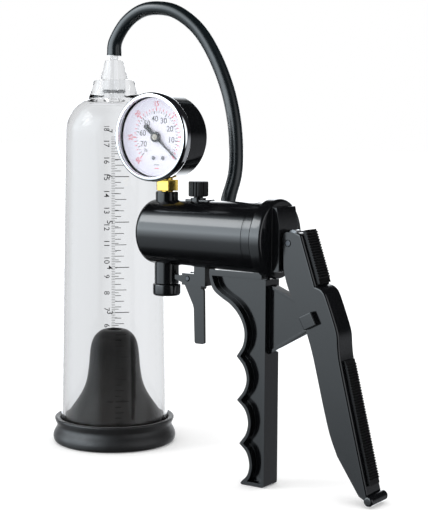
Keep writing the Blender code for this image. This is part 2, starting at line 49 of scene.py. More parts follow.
CHAMBER_X, CHAMBER_Y = -122.0, 33.5
AXIS_Z = 128.0
PORT_X, KNOB_X, ELBOW_X = -59.3, -38.9, -36.5
GAUGE_Z = 178.4
PIVOT_X, PIVOT_Z = 34.2, 89.3
ROD_PIN_X, ROD_PIN_Z = 20.8, 126.85
TRIGGER_PIN_X, TRIGGER_PIN_Z = -42.3, 104.4
BODY = "pump"

# Camera: a three-quarter view from slightly above.
VIEW_AZIMUTH, VIEW_DIP, VIEW_ROLL, LENS_MM = 34.5, 5.87, 0.35, 96.65
camera_data = bpy.data.cameras.new("camera")
camera_data.sensor_width = 36.0
camera_data.lens = LENS_MM
camera_data.clip_start = 0.05
camera_data.clip_end = 20.0
camera = bpy.data.objects.new("camera", camera_data)
bpy.context.scene.collection.objects.link(camera)
azimuth, dip = math.radians(VIEW_AZIMUTH), math.radians(VIEW_DIP)
back = Vector((math.sin(azimuth) * math.cos(dip), -math.cos(azimuth) * math.cos(dip), math.sin(dip)))
camera.location = (0.3772, -0.5907, 0.190)
camera.rotation_mode = "QUATERNION"
roll = Matrix.Rotation(math.radians(VIEW_ROLL), 3, "Z").to_quaternion()
camera.rotation_quaternion = (-back).to_track_quat("-Z", "Y") @ roll
bpy.context.scene.camera = camera


def smooth_line(points, steps):
    """Points along a smooth line through the given points, the ends included."""
    line = [Vector(p) for p in points]
    line = [2 * line[0] - line[1], *line, 2 * line[-1] - line[-2]]
    found = []
    for i in range(1, len(line) - 2):
        p0, p1, p2, p3 = line[i - 1 : i + 3]
        for step in range(steps):
            t = step / steps
            found.append(
                0.5 * ((2 * p1) + (p2 - p0) * t + (2 * p0 - 5 * p1 + 4 * p2 - p3) * t * t
                       + (3 * p1 - p0 - 3 * p2 + p3) * t ** 3)
            )
    found.append(line[-2])
    return found


def arc(cx, cz, radius, start, end, count):
    found = []
    for i in range(count + 1):
        angle = math.radians(start + (end - start) * i / count)
        found.append((cx + radius * math.cos(angle), cz + radius * math.sin(angle)))
    return found


# ---------------------------------------------------------------- materials


class Nodes:
    """A material's node tree with short calls for the nodes used here."""

    def __init__(self, name):
        self.material = bpy.data.materials.new(name)
        self.material.use_nodes = True
        self.tree = self.material.node_tree
        self.shader = self.tree.nodes["Principled BSDF"]
        self.place = self.node("ShaderNodeTexCoord").outputs["Object"]

    def node(self, kind, **settings):
        made = self.tree.nodes.new(kind)
        for key, value in settings.items():
            setattr(made, key, value)
        return made

    def link(self, out, into):
        self.tree.links.new(out, into)

    def set(self, **values):
        for key, value in values.items():
            socket = self.shader.inputs[key.replace("_", " ")]
            socket.default_value = (*value, 1.0) if isinstance(value, tuple) else value

    def noise(self, scale, detail=3.0, roughness=0.55, stretch=None):
        made = self.node("ShaderNodeTexNoise")
        made.inputs["Scale"].default_value = scale
        made.inputs["Detail"].default_value = detail
        made.inputs["Roughness"].default_value = roughness
        place = self.place
        if stretch:
            mapping = self.node("ShaderNodeMapping")
            mapping.inputs["Scale"].default_value = stretch
            self.link(place, mapping.inputs["Vector"])
            place = mapping.outputs["Vector"]
        self.link(place, made.inputs["Vector"])
        return made.outputs["Fac"]

    def spread(self, value, low, high, start=0.3, end=0.7):
        made = self.node("ShaderNodeMapRange")
        made.inputs["From Min"].default_value = start
        made.inputs["From Max"].default_value = end
        made.inputs["To Min"].default_value = low
        made.inputs["To Max"].default_value = high
        self.link(value, made.inputs["Value"])
        return made.outputs["Result"]

    def tint(self, value, dark, light):
        made = self.node("ShaderNodeMix", data_type="RGBA")
        made.inputs["A"].default_value = (*dark, 1.0)
        made.inputs["B"].default_value = (*light, 1.0)
        self.link(value, made.inputs["Factor"])
        self.link(made.outputs["Result"], self.shader.inputs["Base Color"])

    def rough(self, value, low, high):
        self.link(self.spread(value, low, high), self.shader.inputs["Roughness"])

    def bump(self, value, distance, strength=1.0):
        made = self.node("ShaderNodeBump")
        made.inputs["Strength"].default_value = strength
        made.inputs["Distance"].default_value = distance
        self.link(value, made.inputs["Height"])
        self.link(made.outputs["Normal"], self.shader.inputs["Normal"])


def moulded(name, dark, light, low, high, grain=0.00001, coat=0.0):
    """Moulded plastic: faint swirls in colour and gloss, and a very fine surface grain."""
    made = Nodes(name)
    swirl = made.noise(38.0, 4.0)
    made.tint(swirl, dark, light)
    made.rough(made.noise(95.0, 5.0, 0.65), low, high)
    made.bump(made.noise(900.0, 2.0), grain, 0.6)
    made.set(Specular_IOR_Level=0.5, Coat_Weight=coat, Coat_Roughness=0.06)
    return made.material


GLOSS = moulded("gloss_black", (0.0022, 0.0024, 0.0028), (0.0042, 0.0046, 0.0054), 0.11, 0.17)
PAD = moulded("pad_black", (0.0018, 0.0018, 0.0020), (0.0038, 0.0038, 0.0042), 0.24, 0.36, 0.00002)
PAD.node_tree.nodes["Principled BSDF"].inputs["Specular IOR Level"].default_value = 0.22
CASE = moulded("case_black", (0.0020, 0.0022, 0.0026), (0.0040, 0.0044, 0.0052), 0.09, 0.15)
RUBBER = moulded("ring_rubber_black", (0.0045, 0.0045, 0.0050), (0.0095, 0.0095, 0.0105), 0.42, 0.56, 0.00003)
RUBBER.node_tree.nodes["Principled BSDF"].inputs["Sheen Weight"].default_value = 0.15
RUBBER.node_tree.nodes["Principled BSDF"].inputs["Sheen Roughness"].default_value = 0.4
HOSE = moulded("hose_black", (0.0015, 0.0035, 0.0045), (0.0035, 0.0075, 0.0095), 0.24, 0.34, 0.00002)
NYLON = moulded("nylon_white", (0.60, 0.59, 0.55), (0.72, 0.71, 0.67), 0.35, 0.5)


def soft_skin():
    """Soft thin rubber whose colour carries painted light: blacker toward its mouth and greyer toward its
    hem, where light showing through the thin skin is painted in.
    """
    made = Nodes("soft_grey_rubber")
    height = made.node("ShaderNodeSeparateXYZ")
    made.link(made.place, height.inputs["Vector"])
    # painted light: the base colour grows lighter toward the hem, standing in for light coming through the
    # thin skin there
    ramp = made.spread(height.outputs["Z"], 0.0, 0.85, 0.052, 0.010)
    cloud = made.spread(made.noise(26.0, 3.0), -0.12, 0.15)
    total = made.node("ShaderNodeMath", operation="ADD", use_clamp=True)
    made.link(ramp, total.inputs[0])
    made.link(cloud, total.inputs[1])
    made.tint(total.outputs["Value"], (0.0016, 0.0013, 0.0011), (0.034, 0.031, 0.029))
    made.rough(made.noise(60.0, 4.0), 0.30, 0.40)
    made.bump(made.noise(300.0, 2.0), 0.000012, 0.4)
    made.set(Subsurface_Weight=0.06, Subsurface_Scale=0.002, Specular_IOR_Level=0.1)
    made.shader.inputs["Subsurface Radius"].default_value = (1.0, 0.7, 0.55)
    return made.material


def clear(name, tint, low, high, ior, painted_streak):
    """Clear plastic with faint lines along Z: in the bump they are draw lines in the surface; in the tint
    they are painted reflection, darker streaks standing in for the bands that lamps leave on the tube.
    """
    made = Nodes(name)
    lines = made.noise(60.0, 3.0, 0.5, (1.0, 1.0, 0.015))
    # painted reflection: the tint streaks along Z stand in for reflected lamp bands
    made.tint(made.spread(lines, 0.0, 1.0), tuple(c - painted_streak for c in tint), tint)
    made.rough(made.noise(80.0, 3.0), low, high)
    made.bump(lines, 0.00002, 0.3)
    made.set(Transmission_Weight=1.0, IOR=ior)
    return made.material


def metal(name, dark, light, low, high, scratch=(1.0, 1.0, 1.0), grain=0.000008):
    made = Nodes(name)
    made.tint(made.noise(60.0, 4.0), dark, light)
    made.rough(made.noise(160.0, 5.0, 0.6, scratch), low, high)
    made.bump(made.noise(700.0, 3.0, 0.6, scratch), grain, 0.5)
    made.set(Metallic=1.0)
    return made.material


SOFT = soft_skin()
ACRYLIC = clear("clear_acrylic", (0.975, 0.979, 0.983), 0.003, 0.008, 1.30, 0.022)
WINDOW = clear("clear_window", (0.985, 0.987, 0.990), 0.005, 0.012, 1.45, 0.004)
WINDOW.node_tree.nodes["Principled BSDF"].inputs["Alpha"].default_value = 0.1
CHROME = metal("chrome_trim", (0.78, 0.79, 0.81), (0.88, 0.89, 0.90), 0.04, 0.09)
BRASS = metal("brass_fitting", (0.70, 0.46, 0.08), (0.90, 0.66, 0.18), 0.14, 0.26, (1.0, 1.0, 6.0))
STEEL = metal("steel_pin", (0.48, 0.49, 0.51), (0.64, 0.65, 0.67), 0.2, 0.32, (8.0, 1.0, 1.0))
SEAL = moulded("seal_grey", (0.30, 0.31, 0.32), (0.38, 0.39, 0.40), 0.4, 0.5)
DIAL = moulded("dial_card", (0.80, 0.80, 0.90), (0.86, 0.86, 0.95), 0.45, 0.55)
INK_BLACK = moulded("ink_black", (0.002, 0.002, 0.002), (0.005, 0.005, 0.005), 0.45, 0.6)
INK_RED = moulded("ink_red", (0.66, 0.006, 0.045), (0.78, 0.012, 0.065), 0.45, 0.6)
INK_NEAR = moulded("ink_near", (0.002, 0.002, 0.002), (0.006, 0.006, 0.006), 0.45, 0.6)
INK_FAR = moulded("ink_far", (0.012, 0.012, 0.014), (0.028, 0.028, 0.032), 0.45, 0.6)
NEEDLE = moulded("needle_black", (0.003, 0.003, 0.004), (0.006, 0.006, 0.007), 0.3, 0.4)
DARK_STEEL = metal("dark_steel", (0.050, 0.052, 0.056), (0.085, 0.088, 0.094), 0.25, 0.38)
HUB = moulded("hub_grey", (0.34, 0.33, 0.30), (0.46, 0.45, 0.41), 0.4, 0.5)
SCREW = metal("screw_steel", (0.10, 0.10, 0.11), (0.16, 0.16, 0.17), 0.4, 0.5)


# ---------------------------------------------------------------- shapes


def add(name, mesh):
    obj = bpy.data.objects.new(name, mesh)
    bpy.context.scene.collection.objects.link(obj)
    return obj


def settle(obj):
    """Turns an object's modifiers and transform into plain mesh in the shared frame."""
    bpy.context.view_layer.update()
    graph = bpy.context.evaluated_depsgraph_get()
    mesh = bpy.data.meshes.new_from_object(obj.evaluated_get(graph))
    mesh.transform(obj.matrix_world)
    mesh.name = obj.name
    obj.modifiers.clear()
    if obj.type != "MESH":
        name = obj.name
        bpy.data.objects.remove(obj)
        return add(name, mesh)
    obj.data = mesh
    obj.matrix_world = Matrix.Identity(4)
    return obj


def turned(name, profile, steps, closed=True, at=(0, 0, 0), axis="Z"):
    """A lathe shape from an (r, height) profile, listed from top to bottom on its outer side."""
    points = [(p[0] * MM, 0, p[1] * MM) for p in profile]
    edges = [(i, i + 1) for i in range(len(points) - 1)]
    if closed:
        edges.append((len(points) - 1, 0))
    mesh = bpy.data.meshes.new(name)
    mesh.from_pydata(points, edges, [])
    obj = add(name, mesh)
    screw = obj.modifiers.new("turn", "SCREW")
    screw.steps = steps
    screw.render_steps = steps
    screw.use_merge_vertices = True
    screw.merge_threshold = 0.00001
    turns = {"X": (0, 90, 0), "-Y": (90, 0, 0), "+Y": (-90, 0, 0), "Z": (0, 0, 0)}
    obj.rotation_euler = [math.radians(a) for a in turns[axis]]
    obj.location = [value * MM for value in at]
    settle(obj)
    shape = bmesh.new()
    shape.from_mesh(obj.data)
    bmesh.ops.remove_doubles(shape, verts=shape.verts, dist=0.000002)
    bmesh.ops.recalc_face_normals(shape, faces=shape.faces)
    shape.to_mesh(obj.data)
    shape.free()
    return obj


def rod(name, start, end, radius, sides=48, end_radius=None):
    a, b = Vector(start) * MM, Vector(end) * MM
    turn = (b - a).to_track_quat("Z", "Y").to_matrix().to_4x4()
    mesh = bpy.data.meshes.new(name)
    shape = bmesh.new()
    bmesh.ops.create_cone(
        shape, cap_ends=True, segments=sides, radius1=radius * MM,
        radius2=(radius if end_radius is None else end_radius) * MM, depth=(b - a).length,
        matrix=Matrix.Translation((a + b) / 2) @ turn,
    )
    shape.to_mesh(mesh)
    shape.free()
    return add(name, mesh)


def box(name, lo, hi):
    mesh = bpy.data.meshes.new(name)
    shape = bmesh.new()
    size = [(hi[i] - lo[i]) * MM for i in range(3)]
    middle = Vector([(hi[i] + lo[i]) * MM / 2 for i in range(3)])
    bmesh.ops.create_cube(shape, size=1.0, matrix=Matrix.Translation(middle) @ Matrix.Diagonal((*size, 1.0)))
    shape.to_mesh(mesh)
    shape.free()
    return add(name, mesh)


def plate(name, outline, y0, y1):
    mesh = bpy.data.meshes.new(name)
    shape = bmesh.new()
    ring = [shape.verts.new((p[0] * MM, y0 * MM, p[1] * MM)) for p in outline]
    face = shape.faces.new(ring)
    made = bmesh.ops.extrude_face_region(shape, geom=[face])
    moved = [item for item in made["geom"] if isinstance(item, bmesh.types.BMVert)]
    bmesh.ops.translate(shape, verts=moved, vec=(0, (y1 - y0) * MM, 0))
    bmesh.ops.recalc_face_normals(shape, faces=shape.faces)
    shape.to_mesh(mesh)
    shape.free()
    return add(name, mesh)


def carve(obj, others, operation="DIFFERENCE"):
    for other in others:
        step = obj.modifiers.new(other.name, "BOOLEAN")
        step.operation = operation
        step.solver = "EXACT"
        step.object = other
    settle(obj)
    for other in others:
        bpy.data.objects.remove(other)
    return obj


def soften(obj, width, segments=3, angle=32):
    """Rounds every edge sharper than the angle."""
    weld = obj.modifiers.new("weld", "WELD")
    weld.merge_threshold = 0.00001
    step = obj.modifiers.new("edge", "BEVEL")
    step.width = width * MM
    step.segments = segments
    step.limit_method = "ANGLE"
    step.angle_limit = math.radians(angle)
    step.use_clamp_overlap = True
    return settle(obj)


def finish(obj, look, body=BODY, nodes=(), sharp=38):
    """Gives a piece its shading, material, slot and body."""
    mesh = obj.data
    mesh.materials.clear()
    mesh.materials.append(look)
    for face in mesh.polygons:
        face.use_smooth = True
    mesh.set_sharp_from_angle(angle=math.radians(sharp))
    weigh = obj.modifiers.new("shade", "WEIGHTED_NORMAL")
    weigh.keep_sharp = True
    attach(obj, body)
    if nodes:
        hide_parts(*nodes)
    return obj


CHAMBER = (CHAMBER_X, CHAMBER_Y, 0)

# Hose: straight off the coupling, over an arch and down behind the barrel to the elbow's barb.
HOSE_ROUTE = [
    (CHAMBER_X, CHAMBER_Y, 223.4), (-121.4, 34.0, 231.5), (-114.6, 34.8, 241.5), (-104.0, 35.2, 248.0),
    (-92.0, 35.5, 249.3), (-79.5, 36.5, 246.5), (-66.5, 38.2, 237.0), (-56.0, 38.8, 222.6),
    (-47.0, 38.0, 205.0),
    (-40.6, 35.4, 188.0), (-36.4, 31.6, 171.5), (-34.6, 27.8, 158.0), (ELBOW_X, 24.5, 145.0),
    (ELBOW_X, 24.4, 138.3),
]
hose_points = [point * MM for point in smooth_line(HOSE_ROUTE, 6)]
hose_curve = bpy.data.curves.new("hose_line", "CURVE")
hose_curve.dimensions = "3D"
hose_curve.bevel_depth = 3.9 * MM
hose_curve.bevel_resolution = 8
hose_curve.use_fill_caps = True
spline = hose_curve.splines.new("POLY")
spline.points.add(len(hose_points) - 1)
for place, point in zip(spline.points, hose_points):
    place.co = (*point, 1.0)
    near_end = min((point - hose_points[0]).length, (point - hose_points[-1]).length)
    place.radius = 1.0 + 0.10 * max(0.0, 1.0 - near_end / 0.012)
spline.use_smooth = True
hose = bpy.data.objects.new("hose_line", hose_curve)
bpy.context.scene.collection.objects.link(hose)
hose_curve.materials.append(HOSE)
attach(hose, BODY)
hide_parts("hose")

# Chamber with its shoulder and collar, and the clear coupling that the hose pushes on to.
TUBE_R_BOTTOM, TUBE_R_TOP, TUBE_WALL = 31.2, 28.2, 2.0
TUBE_Z0, SHOULDER_Z, NECK_Z, COLLAR_Z = 3.5, 181.0, 200.0, 209.6
shoulder_outer = smooth_line(
    [(14.5, NECK_Z + 0.2), (15.4, NECK_Z - 1.3), (18.5, NECK_Z - 2.5), (22.8, NECK_Z - 6.0),
     (26.2, NECK_Z - 11.6), (27.8, NECK_Z - 17.0), (TUBE_R_TOP, SHOULDER_Z - 4.0)], 6)
shoulder_inner = smooth_line(
    [(TUBE_R_TOP - TUBE_WALL, SHOULDER_Z - 4.2), (25.7, NECK_Z - 17.4), (23.9, NECK_Z - 12.8),
     (20.6, NECK_Z - 8.0), (16.6, NECK_Z - 4.7), (11.6, NECK_Z - 2.9)], 6)
collar = [(11.0, COLLAR_Z), (11.5, COLLAR_Z - 0.15), (11.75, COLLAR_Z - 0.6), (14.1, NECK_Z + 1.2)]
chamber_profile = (
    collar + [tuple(p) for p in shoulder_outer]
    + [(TUBE_R_TOP + 1.0, 120.0), (TUBE_R_BOTTOM, TUBE_Z0), (TUBE_R_BOTTOM - TUBE_WALL, TUBE_Z0),
       (TUBE_R_TOP + 1.0 - TUBE_WALL, 120.0)]
    + [tuple(p) for p in shoulder_inner]
    + [(7.6, NECK_Z - 2.3), (7.1, NECK_Z - 1.9), (7.0, NECK_Z - 1.2), (7.0, COLLAR_Z - 0.4), (7.4, COLLAR_Z)]
)
chamber = turned("chamber_shell", chamber_profile, 144, at=CHAMBER)
finish(chamber, ACRYLIC, nodes=["chamber_tube"], sharp=60)

coupling_profile = [
    (2.2, 223.1), (2.5, 222.8), (2.5, 221.3), (2.9, 220.9), (4.9, 220.7), (5.3, 220.3), (7.9, COLLAR_Z + 0.9),
    (7.8, COLLAR_Z + 0.5), (6.4, COLLAR_Z + 0.3), (6.4, 203.2), (5.2, 203.0), (5.2, 201.4), (6.4, 201.2),
    (6.0, 198.6), (2.4, 198.6), (2.0, 205.0), (1.6, 215.0), (1.4, 223.1),
]
coupling = turned("coupling_clear", coupling_profile, 96, at=CHAMBER)
finish(coupling, ACRYLIC, nodes=["hose_coupling"], sharp=50)

# Rubber ring: flared lip, waist and a full rounded foot.
ring_outer = smooth_line(
    [(33.6, 14.5), (34.4, 14.4), (34.75, 13.7), (34.3, 12.2), (33.5, 10.2), (33.9, 8.2), (35.1, 6.0),
     (35.75, 3.6), (35.3, 1.2), (34.3, 0.2), (33.6, 0.0)], 4)
ring_profile = [tuple(p) for p in ring_outer] + [
    (29.8, 0.0), (29.3, 0.4), (29.3, 2.9), (31.5, 3.2), (31.55, 8.0), (31.5, 13.6), (32.0, 14.3),
]
ring = turned("ring_rubber", ring_profile, 144, at=CHAMBER)
finish(ring, RUBBER, nodes=["base_ring"], sharp=50)

# Bell-shaped sleeve: one soft skin, folded over at its small upper mouth.
bell_outer = smooth_line(
    [(4.4, 65.35), (5.4, 65.5), (8.2, 64.6), (11.4, 61.7), (13.4, 57.2), (14.3, 51.5), (15.0, 43.5),
     (16.3, 35.6), (18.5, 29.6), (21.6, 24.4), (25.4, 19.2), (28.0, 15.6), (28.7, 12.6), (28.8, 9.0)], 5)
bell_inner = smooth_line(
    [(27.2, 9.0), (27.1, 11.8), (26.3, 14.8), (23.9, 18.2), (20.2, 23.1), (17.0, 28.6), (14.8, 34.8),
     (13.5, 42.6),
     (12.7, 51.2), (11.9, 56.5), (10.2, 60.3), (7.4, 62.9), (5.0, 63.8), (4.3, 64.2), (4.1, 64.8)], 5)
bell_profile = [tuple(p) for p in bell_outer] + [(28.8, 0.4), (27.2, 0.4)] + [tuple(p) for p in bell_inner]
bell = turned("bell_sleeve", bell_profile, 112, at=CHAMBER)
finish(bell, SOFT, nodes=["soft_cone"], sharp=60)

# Barrel with its bosses and the trigger's lug.
barrel_profile = (
    [(0.0, 5.0), (17.6, 5.0), (18.2, 4.4), (18.15, 0.4), (17.95, 0.2), (17.95, -0.5), (18.1, -0.7)]
    + [(17.2 - 4.2 + 4.2 * math.cos(math.radians(a)), -65.2 - 4.2 * math.sin(math.radians(a)))
       for a in range(0, 91, 9)]
    + [(0.0, -69.4)]
)
barrel = turned("barrel_shell", barrel_profile, 128, closed=False, at=(0, 0, AXIS_Z), axis="X")
lug_outline = [(-46.0, 101.0), (-31.2, 101.0), (-31.2, 116.0), (-38.2, 116.0), (-38.2, 107.2), (-46.0, 107.2)]
knob_foot = box("knob_foot", (KNOB_X - 6.5, -3.2, AXIS_Z + 9), (KNOB_X + 8.5, 3.2, 146.2))
carve(barrel, [
    soften(rod("gauge_boss", (PORT_X, 0, AXIS_Z + 6), (PORT_X, 0, 149.6), 6.1, 64), 0.7),
    rod("port_boss", (PORT_X, 0, 100.6), (PORT_X, 0, AXIS_Z - 6), 6.6, 64),
    rod("knob_boss", (KNOB_X, 0, AXIS_Z + 6), (KNOB_X, 0, 147.0), 4.4, 48, 4.0),
    soften(knob_foot, 0.6),
    rod("elbow_boss", (ELBOW_X, 8, AXIS_Z), (ELBOW_X, 19.2, AXIS_Z), 5.4, 48),
    plate("lug", lug_outline, -4.8, 4.8),
], "UNION")
carve(barrel, [
    rod("bore", (-33, 0, AXIS_Z), (6, 0, AXIS_Z), 14.0, 96),
    rod("port_drill", (PORT_X, 0, 98), (PORT_X, 0, 151), 3.4),
    rod("port_seat", (PORT_X, 0, 97), (PORT_X, 0, 104.4), 5.0),
    rod("knob_drill", (KNOB_X, 0, AXIS_Z + 2), (KNOB_X, 0, 149), 2.8),
    rod("elbow_drill", (ELBOW_X, 4, AXIS_Z), (ELBOW_X, 20, AXIS_Z), 2.8),
    box("slot", (-47.0, -2.9, 100.0), (-33.8, 2.9, 109.5)),
    rod("pin_drill", (TRIGGER_PIN_X, -6, TRIGGER_PIN_Z), (TRIGGER_PIN_X, 6, TRIGGER_PIN_Z), 1.5),
])
finish(soften(barrel, 0.3, 2), GLOSS, nodes=["barrel"], sharp=30)

# Grip handle: smooth finger hollows, a middle web with a recess on each side, the lever's bracket behind.
hollow = [(-27.4, 109.2), (-26.8, 105.0), (-24.6, 100.0), (-19.6, 96.4), (-14.2, 93.4), (-9.6, 89.2),
    (-6.5, 84.2),
          (-5.2, 78.6), (-6.2, 72.6), (-9.9, 66.8)]
hollows = [
    hollow,
    [(-9.9, 66.8), (-5.5, 61.8), (-3.7, 55.4), (-5.3, 49.4), (-9.5, 44.0)],
    [(-9.5, 44.0), (-4.6, 39.4), (-2.6, 33.1), (-3.8, 27.0), (-7.8, 21.4)],
    [(-7.8, 21.4), (-3.4, 17.2), (-1.6, 11.0), (-2.8, 5.4), (-6.4, 1.6)],
]
finger_side = []
for part in hollows:
    finger_side += [tuple(p) for p in smooth_line(part, 5)][:-1]
foot = [(-6.9, 1.0), (-6.7, 0.3), (-6.0, 0.0), (6.2, 0.0), (7.1, 0.4), (7.4, 1.3)]
handle_outline = finger_side + foot + [(7.4, 109.2)]
handle = plate("grip_shell", handle_outline, -6.5, 6.5)
recess_parts = [
    [(-25.6, 107.4), (-24.9, 105.0), (-23.0, 101.4), (-18.8, 98.2), (-13.3, 95.2), (-8.4, 90.8), (-4.9, 84.9),
     (-3.5, 78.6), (-4.6, 72.0), (-7.7, 66.8)],
    [(-7.7, 66.8), (-3.9, 62.4), (-2.0, 55.4), (-3.7, 48.8), (-7.3, 44.0)],
    [(-7.3, 44.0), (-2.9, 40.1), (-0.9, 33.1), (-2.2, 26.4), (-5.6, 21.4)],
    [(-5.6, 21.4), (-1.7, 17.9), (0.1, 11.0), (-1.2, 4.6), (-3.2, 1.9)],
]
recess = []
for part in recess_parts:
    recess += [tuple(p) for p in smooth_line(part, 5)][:-1]
recess += [(-3.0, 1.9), (5.8, 1.9), (5.8, 107.4)]
carve(handle, [plate("near_recess", recess, -7.5, -1.8), plate("far_recess", recess, 1.8, 7.5)])
bracket = plate(
    "bracket", [(5.0, 103.6), (9.0, 103.6)] + arc(PIVOT_X, PIVOT_Z, 4.6, 62, -62, 16)
    + [(9.0, 70.0), (5.0, 69.2)],
    -2.3, 2.3,
)
rim_low = plate("rim_low", [(6.0, 68.6), (8.6, 69.4), (29.4, 82.6), (28.8, 83.9), (8.6, 71.4), (6.0, 70.6)],
    -3.1, 3.1)
rim_top = plate("rim_top", [(6.0, 104.2), (8.6, 104.2), (29.6, 95.6), (29.0, 94.2), (8.6, 102.6),
    (6.0, 102.6)], -3.1, 3.1)
saddle = plate("saddle", [(-27.2, 108.6), (7.2, 108.6), (7.2, 120.0), (-27.2, 120.0)], -6.5, 6.5)
carve(handle, [bracket, rim_low, rim_top, saddle], "UNION")
carve(handle, [
    rod("clear_barrel", (-40, 0, AXIS_Z), (20, 0, AXIS_Z), 18.55, 96),
    box("clear_cap", (4.9, -9, 107.2), (14, 9, 122)),
    rod("pivot_drill", (PIVOT_X, -9, PIVOT_Z), (PIVOT_X, 9, PIVOT_Z), 2.3),
])
finish(soften(handle, 0.35, 2, 40), GLOSS, nodes=["grip_handle"], sharp=30)

# Rear end cap with its square rod guide.
cap_profile = (
    [(0.0, 12.4), (18.8, 12.4)]
    + [(18.8 + 1.5 * math.cos(math.radians(a)), 10.9 + 1.5 * math.sin(math.radians(a)))
       for a in range(75, -1, -15)]
    + [(20.3, 6.6), (20.1, 6.0), (19.5, 5.5), (18.9, 5.3), (13.7, 5.3), (13.7, -1.0), (0.0, -1.0)]
)
cap = turned("cap_shell", cap_profile, 128, closed=False, at=(0, 0, AXIS_Z), axis="X")
guide = plate(
    "guide", [(11.0, 112.0), (15.8, 112.0), (16.6, 113.0), (16.6, 136.0), (15.0, 144.4), (11.0, 144.4)],
    -9.0, 9.0
)
carve(cap, [guide], "UNION")
carve(cap, [
    rod("cap_drill", (-3, 0, AXIS_Z), (20, 0, AXIS_Z), 3.5),
    rod("bush_seat", (-3, 0, AXIS_Z), (8.3, 0, AXIS_Z), 5.4),
])
finish(soften(cap, 0.5, 3), GLOSS, nodes=["end_cap"], sharp=30)

# Squeeze lever: a channel with rounded back corners and a rolled toe.
front_edge = smooth_line(
    [(18.2, 124.5), (18.4, 118.6), (18.8, 112.6), (21.8, 103.2), (28.6, 92.4), (32.0, 83.6), (35.5, 73.5),
     (39.1, 59.8), (42.6, 46.1), (46.4, 33.1), (50.6, 23.2)], 4)
back_edge = smooth_line(
    [(58.2, 43.0), (54.7, 57.0), (51.4, 70.5), (50.5, 77.0), (49.8, 84.0), (46.9, 92.4), (43.2, 101.6),
     (41.4, 104.4), (39.4, 105.8), (36.8, 106.6)], 4)
lever_outline = (
    [(18.6, 131.6), (17.8, 130.4), (17.5, 128.6)] + [tuple(p) for p in front_edge]
    + [(63.0, 5.0), (67.0, 3.0), (67.4, 6.6)] + [tuple(p) for p in back_edge]
    + [(28.6, 130.6), (27.8, 131.8), (26.4, 132.4), (20.0, 132.4)]
)
lever = plate("lever_shell", lever_outline, -7.5, 7.5)


def front_at(height):
    """Where the lever's front edge stands at this height."""
    for (xa, za), (xb, zb) in zip(front_edge, front_edge[1:]):
        if zb <= height <= za:
            return xa + (xb - xa) * (za - height) / (za - zb)
    return 18.2 if height > 100 else 50.6 + (23.2 - height) * 0.68


shape = bmesh.new()
shape.from_mesh(lever.data)
rear = []
for edge in shape.edges:
    a, b = edge.verts[0].co / MM, edge.verts[1].co / MM
    middle = (a + b) / 2
    if abs(a.y - b.y) < 0.1 and middle.z > 6 and middle.x - front_at(middle.z) > 6.5:
        rear.append(edge)
bmesh.ops.bevel(shape, geom=rear, offset=2.5 * MM, segments=6, profile=0.5, affect="EDGES",
    clamp_overlap=True)
shape.to_mesh(lever.data)
shape.free()
inner_back = smooth_line(
    [(56.2, 43.0), (52.7, 57.0), (49.4, 70.0), (48.5, 76.6), (47.8, 83.4), (44.9, 91.8), (41.4, 100.4),
     (39.4, 103.2), (35.2, 104.8)], 4)
lever_hollow = (
    [(10.0, 134.0), (10.0, 80.0), (40.0, 20.0), (59.0, 5.5), (63.6, 8.0)] + [tuple(p) for p in inner_back]
    + [(26.2, 131.4), (25.6, 134.0)]
)
carve(lever, [plate("lever_hollow", lever_hollow, -5.5, 5.5)])
toe_profile = (
    [(0.0, 8.6)]
    + [(1.4 + 1.2 * math.sin(math.radians(a)), 7.4 + 1.2 * math.cos(math.radians(a)))
       for a in range(0, 91, 15)]
    + [(1.4 + 1.2 * math.cos(math.radians(a)), -7.4 - 1.2 * math.sin(math.radians(a)))
       for a in range(0, 91, 15)]
    + [(0.0, -8.6)]
)
toe = turned("toe_roll", toe_profile, 40, closed=False, at=(68.4, 0, 3.4), axis="+Y")
finish(toe, GLOSS, "lever", sharp=50)
carve(lever, [
    rod("rod_pin_drill", (ROD_PIN_X, -9, ROD_PIN_Z), (ROD_PIN_X, 9, ROD_PIN_Z), 1.8),
    rod("lever_pivot_drill", (PIVOT_X, -9, PIVOT_Z), (PIVOT_X, 9, PIVOT_Z), 2.3),
])
finish(soften(lever, 0.25, 2, 50), GLOSS, "lever", ["lever"], sharp=30)


def ribbed_pad(name, start, end, width, thick, pitch, margin):
    """A strip on the lever's back with fine rounded cross ribs between its plain ends."""
    a, b = Vector(start), Vector(end)
    along = (b - a).normalized()
    out = Vector((-along.y, along.x))
    if out.x < 0:
        out = -out
    length = (b - a).length
    count = int((length - 2 * margin) / pitch)
    top = [Vector((0, 0)), Vector((0, thick))]
    for i in range(count):
        at = margin + i * pitch
        for share, lift in ((0.0, 0.0), (0.14, 0.3), (0.3, 0.52), (0.5, 0.55), (0.66, 0.4), (0.8, 0.0)):
            top.append(Vector((at + share * pitch, thick + lift)))
    top += [Vector((length, thick)), Vector((length, 0))]
    outline = [a + along * p.x + out * (p.y + 0.3) for p in top]
    return plate(name, [(p.x, p.y) for p in outline], -width / 2, width / 2)


